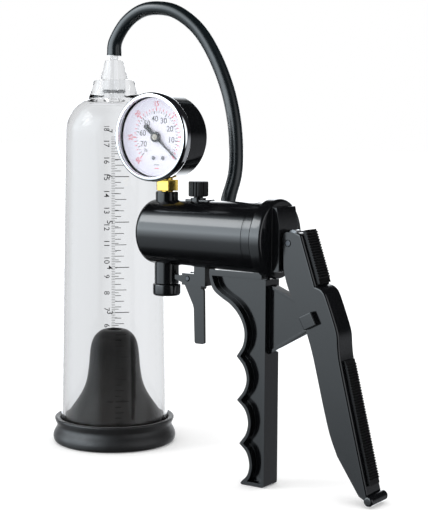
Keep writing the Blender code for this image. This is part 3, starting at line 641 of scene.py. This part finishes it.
upper = ribbed_pad("pad_upper", (27.7, 133.2), (36.6, 107.2), 10.8, 1.5, 1.35, 1.0)
finish(upper, PAD, "lever", ["upper_pad"], sharp=40)
lower = ribbed_pad("pad_lower", (51.5, 70.3), (66.55, 10.0), 9.4, 1.1, 1.35, 2.0)
finish(lower, PAD, "lever", ["lower_pad"], sharp=40)
block_outline = []
tilt = math.radians(27)
for side, rise in ((-3.8, -3.6), (3.8, -3.6), (3.8, 3.6), (-3.8, 3.6)):
    block_outline.append((PIVOT_X + side * math.cos(tilt) - rise * math.sin(tilt),
                          PIVOT_Z + side * math.sin(tilt) + rise * math.cos(tilt)))
block = soften(plate("block_shell", block_outline, -10.6, -7.8), 0.55, 4)
finish(block, GLOSS, "lever", ["pivot_block"], sharp=30)
pivot_profile = [(0.0, 9.4), (2.6, 9.4), (3.4, 9.1), (3.85, 8.5), (3.9, 7.8), (2.0, 7.8), (2.0, -7.4),
    (0.0, -7.4)]
pivot = turned("pivot_pin_steel", pivot_profile, 48, closed=False, at=(PIVOT_X, 0, PIVOT_Z), axis="+Y")
finish(pivot, STEEL, nodes=["lever_pivot_pin"])
pin = soften(rod("rod_pin_steel", (ROD_PIN_X, -7.6, ROD_PIN_Z), (ROD_PIN_X, 7.6, ROD_PIN_Z), 1.5), 0.25, 3)
finish(pin, DARK_STEEL, "lever", ["rod_pin"])

# Release trigger and its pin.
trigger_top = [
    (-52.2, 105.6), (-52.2, 103.4), (-46.6, 101.6), (-45.4, 100.2), (-41.0, 98.8), (-35.6, 98.8),
    (-35.2, 99.4),
    (-35.2, 103.6), (-37.4, 105.4), (-40.2, 106.8), (-43.6, 106.9), (-46.2, 105.8),
]
trigger_blade = [
    (-46.4, 101.4), (-45.4, 100.2), (-40.3, 90.4), (-39.8, 88.6), (-39.2, 71.0), (-38.9, 70.3), (-38.3, 70.0),
    (-34.0, 70.0), (-33.3, 70.3), (-33.0, 71.0), (-33.5, 98.4), (-34.0, 99.2), (-36.6, 99.4), (-40.0, 103.0),
]
trigger = plate("trigger_shell", trigger_top, -2.6, 2.6)
carve(trigger, [plate("trigger_blade", trigger_blade, -2.6, -1.0)], "UNION")
carve(trigger, [rod("trigger_drill", (TRIGGER_PIN_X, -6, TRIGGER_PIN_Z), (TRIGGER_PIN_X, 6, TRIGGER_PIN_Z),
    1.5)])
finish(soften(trigger, 0.3, 3), GLOSS, "trigger", ["release_trigger"], sharp=30)
trigger_pin = rod("trigger_pin_steel", (TRIGGER_PIN_X, -5.2, TRIGGER_PIN_Z),
    (TRIGGER_PIN_X, 5.2, TRIGGER_PIN_Z), 1.2)
finish(soften(trigger_pin, 0.25, 3), DARK_STEEL, nodes=["trigger_pin"])

# Lower port cap, bleed knob and the hose elbow behind the barrel.
port_cap_profile = [
    (0.0, 100.3), (6.6, 100.3), (7.2, 100.1), (7.5, 99.5), (7.5, 95.4), (7.3, 94.6), (6.8, 94.1),
    (6.2, 94.0), (0.0, 94.0),
]
port_cap = turned("port_cap_shell", port_cap_profile, 96, closed=False, at=(PORT_X, 0, 0))
finish(port_cap, GLOSS, nodes=["port_cap"], sharp=50)

FLUTES, FLUTE_STEPS = 20, 10
knob_rings = [(4.3, 155.6, 0.0), (4.9, 155.45, 0.2), (5.2, 155.0, 1.0), (5.2, 148.2, 1.0),
    (4.9, 147.7, 0.2), (4.5, 147.6, 0.0)]
shape = bmesh.new()
loops = []
for radius, height, deep in knob_rings:
    loop = []
    for i in range(FLUTES * FLUTE_STEPS):
        turn = 2 * math.pi * i / (FLUTES * FLUTE_STEPS)
        cut = 0.16 * deep * (1 - math.cos(2 * math.pi * i / FLUTE_STEPS))
        loop.append(shape.verts.new((
            (KNOB_X + (radius - cut) * math.cos(turn)) * MM, (radius - cut) * math.sin(turn) * MM,
            height * MM)))
    loops.append(loop)
for upper_loop, lower_loop in zip(loops, loops[1:]):
    for i in range(len(upper_loop)):
        j = (i + 1) % len(upper_loop)
        shape.faces.new((upper_loop[i], lower_loop[i], lower_loop[j], upper_loop[j]))
shape.faces.new(loops[0])
shape.faces.new(list(reversed(loops[-1])))
bmesh.ops.recalc_face_normals(shape, faces=shape.faces)
knob_mesh = bpy.data.meshes.new("knob_cap")
shape.to_mesh(knob_mesh)
shape.free()
knob = add("knob_shell", knob_mesh)
carve(knob, [rod("knob_stem", (KNOB_X, 0, 133.5), (KNOB_X, 0, 150.0), 2.4)], "UNION")
finish(knob, PAD, "knob", ["bleed_knob"], sharp=40)

elbow = rod("elbow_shell", (ELBOW_X, 10.5, AXIS_Z), (ELBOW_X, 26.6, AXIS_Z), 2.5)
carve(elbow, [
    rod("elbow_flange", (ELBOW_X, 19.5, AXIS_Z), (ELBOW_X, 21.6, AXIS_Z), 5.2),
    rod("elbow_body", (ELBOW_X, 21.0, AXIS_Z), (ELBOW_X, 28.2, AXIS_Z), 3.8),
    rod("elbow_riser", (ELBOW_X, 24.4, AXIS_Z), (ELBOW_X, 24.4, 136.4), 3.4),
    rod("elbow_barb", (ELBOW_X, 24.4, 136.2), (ELBOW_X, 24.4, 138.0), 2.4),
], "UNION")
finish(soften(elbow, 0.35, 3), GLOSS, nodes=["hose_elbow"], sharp=30)

# Gauge on its brass hexagon.
GAUGE = (PORT_X, 0, GAUGE_Z)
case_profile = [
    (0.0, -4.5), (20.9, -4.5), (20.9, 11.6), (22.0, 11.6), (22.0, -4.6), (21.8, -5.4), (21.3, -6.1),
    (20.4, -6.5),
    (0.0, -6.5),
]
case = turned("case_shell", case_profile, 128, closed=False, at=GAUGE, axis="-Y")
carve(case, [rod("stem_hole", (PORT_X, 0, 150), (PORT_X, 0, 162), 3.4)])
finish(case, CASE, nodes=["gauge_case"], sharp=40)
bezel_outer = smooth_line(
    [(21.2, 15.95), (22.2, 15.85), (23.0, 15.2), (23.4, 14.2), (23.5, 12.8), (23.45, 11.4), (23.1, 10.7)], 4)
bezel_profile = [tuple(p) for p in bezel_outer] + [
    (22.4, 10.6), (22.3, 10.9), (22.3, 11.9), (21.4, 12.2), (21.4, 13.2), (20.95, 13.5), (20.8, 14.8),
    (20.9, 15.6),
]
bezel = turned("bezel_chrome", bezel_profile, 144, at=GAUGE, axis="-Y")
finish(bezel, CHROME, nodes=["gauge_bezel"], sharp=50)
window = turned(
    "window_clear", [(0.0, 12.9), (20.9, 12.9), (21.1, 12.7), (21.1, 12.1), (20.9, 11.9), (0.0, 11.9)], 96,
    closed=False, at=GAUGE, axis="-Y",
)
finish(window, WINDOW, nodes=["gauge_window"], sharp=50)
dial = turned(
    "dial_plate", [(0.0, 9.2), (19.7, 9.2), (20.0, 9.5), (20.2, 11.6), (20.6, 11.6), (20.6, 8.9),
        (19.9, 8.4), (0.0, 8.4)], 96,
    closed=False, at=GAUGE, axis="-Y",
)
carve(dial, [rod("dial_hole", (PORT_X, -12, GAUGE_Z), (PORT_X, -4, GAUGE_Z), 1.4)])
finish(dial, DIAL, nodes=["gauge_dial"], sharp=50)


def lettering(text, height):
    """The mesh of some digits, standing in X and Y and centred."""
    curve = bpy.data.curves.new("digits", "FONT")
    curve.body = text
    curve.size = height * 1.42
    curve.align_x = "CENTER"
    curve.align_y = "CENTER"
    curve.extrude = 0.012
    curve.offset = 0.006 * height
    curve.resolution_u = 4
    obj = bpy.data.objects.new("digits", curve)
    bpy.context.scene.collection.objects.link(obj)
    bpy.context.view_layer.update()
    mesh = bpy.data.meshes.new_from_object(obj.evaluated_get(bpy.context.evaluated_depsgraph_get()))
    bpy.data.objects.remove(obj)
    return mesh


def bar(length, width, deep=0.024):
    """A short flat bar along X from the origin."""
    mesh = bpy.data.meshes.new("bar")
    shape = bmesh.new()
    bmesh.ops.create_cube(
        shape, size=1.0,
        matrix=Matrix.Translation((length / 2, 0, 0)) @ Matrix.Diagonal((length, width, deep, 1.0)),
    )
    bmesh.ops.subdivide_edges(
        shape, edges=[e for e in shape.edges if abs(e.verts[0].co.x - e.verts[1].co.x) > 0.5 * length],
        cuts=3)
    shape.to_mesh(mesh)
    shape.free()
    return mesh


DIAL_FACE = Matrix.Translation((PORT_X, -9.23, GAUGE_Z)) @ Matrix.Rotation(math.radians(90), 4, "X")


def gather(name, parts, warp=None):
    """One mesh from (mesh, matrix) parts given in millimetres, bent by warp if it is given."""
    shape = bmesh.new()
    for mesh, matrix in parts:
        copy = mesh.copy()
        copy.transform(matrix)
        shape.from_mesh(copy)
        bpy.data.meshes.remove(copy)
    for vert in shape.verts:
        vert.co = (warp(vert.co) if warp else vert.co) * MM
    mesh = bpy.data.meshes.new(name)
    shape.to_mesh(mesh)
    shape.free()
    return add(name, mesh)


def on_dial(angle, radius, spin=0.0):
    a = math.radians(angle)
    return DIAL_FACE @ Matrix.Translation((radius * math.cos(a), radius * math.sin(a), 0)) @ Matrix.Rotation(
        math.radians(spin), 4, "Z")


ZERO_ANGLE, SWEEP = -44.6, 270.0
black_parts, red_parts = [], []
for value in range(0, 77, 2):
    angle = ZERO_ANGLE + SWEEP * value / 76
    long = value % 10 == 0 or value == 76
    black_parts.append((bar(1.7 if long else 1.0, 0.42 if long else 0.3),
        on_dial(angle, 12.0 if long else 12.6, angle)))
for value in (10, 20, 30, 40, 50, 60, 70):
    angle = ZERO_ANGLE + SWEEP * value / 76
    black_parts.append((lettering(str(value), 3.0), on_dial(angle, 9.5)))
black_parts.append((lettering("0", 1.7), on_dial(ZERO_ANGLE + 3, 10.4)))
black_parts.append((lettering("76", 1.7), on_dial(ZERO_ANGLE + SWEEP - 1, 10.2)))
black_parts.append((bar(3.2, 0.35), DIAL_FACE @ Matrix.Translation((-1.6, -14.6, 0))))
for value in range(0, 31):
    angle = ZERO_ANGLE + 9.03 * value
    long = value % 5 == 0
    red_parts.append((bar(2.2 if long else 1.3, 0.45 if long else 0.32), on_dial(angle, 13.7, angle)))
for value in (5, 10, 15, 20, 25, 30):
    angle = ZERO_ANGLE + 9.03 * value
    red_parts.append((lettering(str(value), 2.5), on_dial(angle, 17.3, angle - 90)))
red_parts.append((bar(2.6, 0.35), DIAL_FACE @ Matrix.Translation((-1.3, -16.4, 0))))
finish(gather("dial_marks_black", black_parts), INK_BLACK)
finish(gather("dial_marks_red", red_parts), INK_RED)

NEEDLE_ANGLE = -40.0
needle_parts = [(-9.4, 0.75), (-9.1, 1.05), (-8.4, 1.15), (-2.0, 0.9), (2.0, 0.55), (17.2, 0.24), (18.3, 0.0)]
needle_shape = needle_parts + [(x, -y) for x, y in reversed(needle_parts[:-1])]
lean = math.radians(NEEDLE_ANGLE)
needle = plate(
    "needle_blade",
    [(PORT_X + x * math.cos(lean) - y * math.sin(lean), GAUGE_Z + x * math.sin(lean) + y * math.cos(lean))
     for x, y in needle_shape],
    -10.6, -10.0,
)
carve(needle, [
    rod("needle_hub", (PORT_X, -11.2, GAUGE_Z), (PORT_X, -9.6, GAUGE_Z), 2.7),
    rod("needle_spindle", (PORT_X, -10.8, GAUGE_Z), (PORT_X, -6.0, GAUGE_Z), 0.9),
], "UNION")
finish(soften(needle, 0.08, 2), NEEDLE, "needle", ["gauge_needle"], sharp=30)
hub_cap = turned(
    "needle_hub_cap", [(0.0, 11.7), (0.5, 11.68), (0.62, 11.55), (1.3, 11.5), (1.6, 11.4), (1.65, 11.1),
        (0.0, 11.1)], 48,
    closed=False, at=GAUGE, axis="-Y",
)
finish(hub_cap, HUB, "needle")
for name, x in (("left", -2.1), ("right", 4.1)):
    screw = turned(
        "screw_" + name, [(0.0, 9.95), (0.6, 9.9), (0.95, 9.75), (1.1, 9.5), (0.0, 9.5)], 32,
        closed=False, at=(PORT_X + x, 0, GAUGE_Z - 11.0), axis="-Y",
    )
    carve(screw, [box("slot", (PORT_X + x - 2, -10.2, GAUGE_Z - 11.15), (PORT_X + x + 2, -9.75,
        GAUGE_Z - 10.85))])
    finish(screw, SCREW, nodes=["dial_screw_" + name])
hexagon = rod("hexagon_brass", (0, 0, 150.0), (0, 0, 155.9), 6.35, 6)
start = math.atan2(hexagon.data.vertices[0].co.y, hexagon.data.vertices[0].co.x)
hexagon.data.transform(
    Matrix.Translation((PORT_X * MM, 0, 0)) @ Matrix.Rotation(math.radians(-47) - start, 4, "Z"))
soften(hexagon, 0.35, 3)
carve(hexagon, [
    rod("stem_lower", (PORT_X, 0, 139.5), (PORT_X, 0, 152.0), 3.1),
    rod("stem_upper", (PORT_X, 0, 153.0), (PORT_X, 0, 162.5), 3.1),
    box("stem_block", (PORT_X - 4.5, -4.4, 160.5), (PORT_X + 4.5, 2.6, 164.8)),
], "UNION")
finish(hexagon, BRASS, nodes=["gauge_stem"], sharp=30)

# Scales on the chamber: inches on the near wall, centimetres on the far wall, read from the gauge side.
NEAR = math.radians(-51.4)


def tube_radius(z):
    return TUBE_R_BOTTOM + (TUBE_R_TOP - TUBE_R_BOTTOM) * (z - TUBE_Z0) / (SHOULDER_Z - 4 - TUBE_Z0)


def on_wall(facing, inward):
    """Bends flat lettering, x to the reader's right and y up, round the tube's outer face."""
    def bend(point):
        radius = tube_radius(point.y) + 0.03
        turn = point.x / radius
        angle = facing + math.pi - turn if inward else facing + turn
        away = radius + (-point.z if inward else point.z)
        return Vector((CHAMBER_X + away * math.cos(angle), CHAMBER_Y + away * math.sin(angle), point.y))
    return bend


def upright(x, z, spin=0.0):
    return Matrix.Translation((x, z, 0)) @ Matrix.Rotation(math.radians(spin), 4, "Z")


inch_parts, cm_parts = [], []
for eighth in range(2, 56):
    z = 3.2 + 25.4 * eighth / 8
    length = 8.0 if eighth % 8 == 0 else 6.4 if eighth % 4 == 0 else 5.0 if eighth % 2 == 0 else 3.3
    inch_parts.append((bar(length, 0.42 if eighth % 8 == 0 else 0.34), upright(0.4, z)))
for inch in range(1, 8):
    inch_parts.append((lettering(str(inch), 3.2), upright(-2.7, 3.2 + 25.4 * inch, -90)))
for mm in range(10, 186):
    length = 4.4 if mm % 10 == 0 else 3.4 if mm % 5 == 0 else 2.2
    if 3.0 + mm < 178:
        cm_parts.append((bar(length, 0.34 if mm % 10 == 0 else 0.24), upright(-1.8, 3.0 + mm)))
for cm in range(2, 19):
    cm_parts.append((lettering(str(cm), 3.4), upright(-4.9, 3.0 + 10 * cm, -90)))
finish(gather("scale_inches", inch_parts, on_wall(NEAR, False)), INK_NEAR)
finish(gather("scale_centimetres", cm_parts, on_wall(NEAR, True)), INK_FAR)

# Return spring: a coil of wire round the barrel's axis, reaching toward the rod's bush.
SPRING_START, SPRING_END, SPRING_R, SPRING_TURNS, SPRING_WIRE = -24.9, -2.1, 8.6, 5, 0.65
spring_curve = bpy.data.curves.new("spring_steel", "CURVE")
spring_curve.dimensions = "3D"
spring_curve.bevel_depth = SPRING_WIRE * MM
spring_curve.bevel_resolution = 3
spring_curve.use_fill_caps = True
winding = spring_curve.splines.new("POLY")
winding.points.add(SPRING_TURNS * 36)
for i, point in enumerate(winding.points):
    turn = math.radians(10 * i)
    along = SPRING_START + (SPRING_END - SPRING_START) * i / (SPRING_TURNS * 36)
    point.co = (along * MM, SPRING_R * math.cos(turn) * MM, (AXIS_Z + SPRING_R * math.sin(turn)) * MM, 1.0)
spring = settle(add("spring_steel", spring_curve))
finish(spring, STEEL, nodes=["return_spring"], sharp=60)
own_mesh(spring)

# Hidden and small CAD pieces keep their shape and take a finished material.
KEPT = {
    "coupling_seal": SEAL, "rod_bush": NYLON, "port_valve": RUBBER, "piston": NYLON,
    "piston_seal": RUBBER, "piston_rod": STEEL, "gauge_movement": BRASS, "bourdon_tube": BRASS,
}
for name, look in KEPT.items():
    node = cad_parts[name]
    node.data.materials.clear()
    node.data.materials.append(look)

# ---------------------------------------------------------------- stage

floor_mesh = bpy.data.meshes.new("floor")
shape = bmesh.new()
bmesh.ops.create_grid(shape, x_segments=1, y_segments=1, size=6.0)
shape.to_mesh(floor_mesh)
shape.free()
floor = add("floor", floor_mesh)
floor.location = (0, 0, -0.0002)
floor_look = Nodes("floor_white")
floor_look.tint(floor_look.noise(3.0), (0.90, 0.90, 0.90), (0.92, 0.92, 0.92))
floor_look.set(Roughness=0.9, Specular_IOR_Level=0.0, Emission_Color=(1.0, 1.0, 1.0), Emission_Strength=0.16)
floor_mesh.materials.append(floor_look.material)
floor.visible_glossy = False
floor.visible_transmission = False

PANEL_STRENGTH, FILL_STRENGTH = 6.6, 1.15
world = bpy.data.worlds.new("studio")
bpy.context.scene.world = world
world.use_nodes = True
tree = world.node_tree
tree.nodes.clear()
output = tree.nodes.new("ShaderNodeOutputWorld")
path = tree.nodes.new("ShaderNodeLightPath")
place = tree.nodes.new("ShaderNodeTexCoord").outputs["Generated"]


def lobe(direction, start, end, colour):
    """A soft-edged panel of light round a direction."""
    dot = tree.nodes.new("ShaderNodeVectorMath")
    dot.operation = "DOT_PRODUCT"
    tree.links.new(place, dot.inputs[0])
    dot.inputs[1].default_value = Vector(direction).normalized()
    ramp = tree.nodes.new("ShaderNodeMapRange")
    ramp.interpolation_type = "SMOOTHSTEP"
    ramp.inputs["From Min"].default_value = start
    ramp.inputs["From Max"].default_value = end
    tree.links.new(dot.outputs["Value"], ramp.inputs["Value"])
    scale = tree.nodes.new("ShaderNodeVectorMath")
    scale.operation = "SCALE"
    scale.inputs[0].default_value = colour
    tree.links.new(ramp.outputs["Result"], scale.inputs["Scale"])
    return scale.outputs["Vector"]


def plus(a, b):
    total = tree.nodes.new("ShaderNodeVectorMath")
    total.operation = "ADD"
    tree.links.new(a, total.inputs[0])
    tree.links.new(b, total.inputs[1])
    return total.outputs["Vector"]


def shine(colour, strength=1.0):
    made = tree.nodes.new("ShaderNodeBackground")
    made.inputs["Strength"].default_value = strength
    if isinstance(colour, tuple):
        made.inputs["Color"].default_value = (*colour, 1.0)
    else:
        tree.links.new(colour, made.inputs["Color"])
    return made.outputs["Background"]


def choose(mask, yes, no):
    made = tree.nodes.new("ShaderNodeMixShader")
    tree.links.new(mask, made.inputs["Fac"])
    tree.links.new(no, made.inputs[1])
    tree.links.new(yes, made.inputs[2])
    return made.outputs["Shader"]


spot = tree.nodes.new("ShaderNodeSeparateXYZ")
tree.links.new(place, spot.inputs["Vector"])
ramp = tree.nodes.new("ShaderNodeValToRGB")
lift = tree.nodes.new("ShaderNodeMapRange")
lift.inputs["From Min"].default_value = -1.0
tree.links.new(spot.outputs["Z"], lift.inputs["Value"])
tree.links.new(lift.outputs["Result"], ramp.inputs["Fac"])
stops = ((-0.80, 0.0), (-0.70, 0.02), (-0.62, 0.09), (-0.44, 0.12), (-0.25, 0.15), (-0.14, 0.30),
    (0.02, 0.55),
         (0.14, 0.90), (0.30, 0.80), (0.58, 0.72), (0.66, 0.55), (0.74, 0.22), (0.79, 0.0))
ramp.color_ramp.elements.remove(ramp.color_ramp.elements[1])
for order, (level, value) in enumerate(stops):
    stop = ramp.color_ramp.elements[0] if order == 0 else ramp.color_ramp.elements.new((level + 1) / 2)
    stop.position = (level + 1) / 2
    stop.color = (value * 0.90, value, value * 1.07, 1.0)
flat = tree.nodes.new("ShaderNodeVectorMath")
flat.operation = "MULTIPLY"
tree.links.new(place, flat.inputs[0])
flat.inputs[1].default_value = (1, 1, 0)
level = tree.nodes.new("ShaderNodeVectorMath")
level.operation = "NORMALIZE"
tree.links.new(flat.outputs["Vector"], level.inputs[0])


def sector(direction, start, end):
    """How far a direction lies inside a soft-edged sector of the horizon."""
    dot = tree.nodes.new("ShaderNodeVectorMath")
    dot.operation = "DOT_PRODUCT"
    tree.links.new(level.outputs["Vector"], dot.inputs[0])
    dot.inputs[1].default_value = Vector(direction).normalized()
    edge = tree.nodes.new("ShaderNodeMapRange")
    edge.interpolation_type = "SMOOTHSTEP"
    edge.inputs["From Min"].default_value = start
    edge.inputs["From Max"].default_value = end
    tree.links.new(dot.outputs["Value"], edge.inputs["Value"])
    return edge.outputs["Result"]


front = tree.nodes.new("ShaderNodeVectorMath")
front.operation = "SCALE"
tree.links.new(ramp.outputs["Color"], front.inputs[0])
tree.links.new(sector((-0.566, -0.824, 0), 0.66, 0.90), front.inputs["Scale"])
panel = tree.nodes.new("ShaderNodeVectorMath")
panel.operation = "SCALE"
panel.inputs["Scale"].default_value = PANEL_STRENGTH
tree.links.new(front.outputs["Vector"], panel.inputs[0])
panels = plus(panel.outputs["Vector"], lobe((0.52, 0.76, -0.38), 0.86, 0.97, (0.32, 0.33, 0.35)))
panels = plus(panels, lobe((-0.55, 0.82, -0.10), 0.78, 0.93, (2.7, 2.8, 2.9)))
panels = plus(panels, lobe((0.95, 0.05, 0.18), 0.80, 0.96, (1.4, 1.45, 1.5)))
panels = plus(panels, lobe((0, 0, 1), -1.0, 1.0, (0.012, 0.012, 0.014)))

side = tree.nodes.new("ShaderNodeVectorMath")
side.operation = "DOT_PRODUCT"
tree.links.new(place, side.inputs[0])
side.inputs[1].default_value = (math.cos(azimuth), math.sin(azimuth), 0)
drift = tree.nodes.new("ShaderNodeMapRange")
drift.interpolation_type = "SMOOTHSTEP"
drift.inputs["From Min"].default_value = -0.10
drift.inputs["From Max"].default_value = -0.055
drift.inputs["To Min"].default_value = 0.80
drift.inputs["To Max"].default_value = 0.90
tree.links.new(side.outputs["Value"], drift.inputs["Value"])
through = tree.nodes.new("ShaderNodeVectorMath")
through.operation = "SCALE"
through.inputs[0].default_value = (0.975, 0.985, 1.0)
tree.links.new(drift.outputs["Result"], through.inputs["Scale"])

light = choose(path.outputs["Is Glossy Ray"], shine(panels), shine((1.0, 1.0, 1.0), FILL_STRENGTH))
light = choose(path.outputs["Is Transmission Ray"], shine(through.outputs["Vector"]), light)
light = choose(path.outputs["Is Camera Ray"], shine((1.0, 1.0, 1.0), 1.0), light)
tree.links.new(light, output.inputs["Surface"])


def softbox(name, location, target, size, power, colour=(1.0, 1.0, 1.0)):
    data = bpy.data.lights.new(name, "AREA")
    data.shape = "RECTANGLE"
    data.size, data.size_y = size
    data.energy = power
    data.color = colour
    obj = bpy.data.objects.new(name, data)
    bpy.context.scene.collection.objects.link(obj)
    obj.location = location
    obj.rotation_mode = "QUATERNION"
    obj.rotation_quaternion = (Vector(target) - Vector(location)).to_track_quat("-Z", "Y")
    return obj


softbox("key", (-0.9, -0.8, 1.0), (-0.03, 0.0, 0.12), (0.5, 0.5), 4.0)
bpy.context.scene.view_settings.view_transform = "Standard"
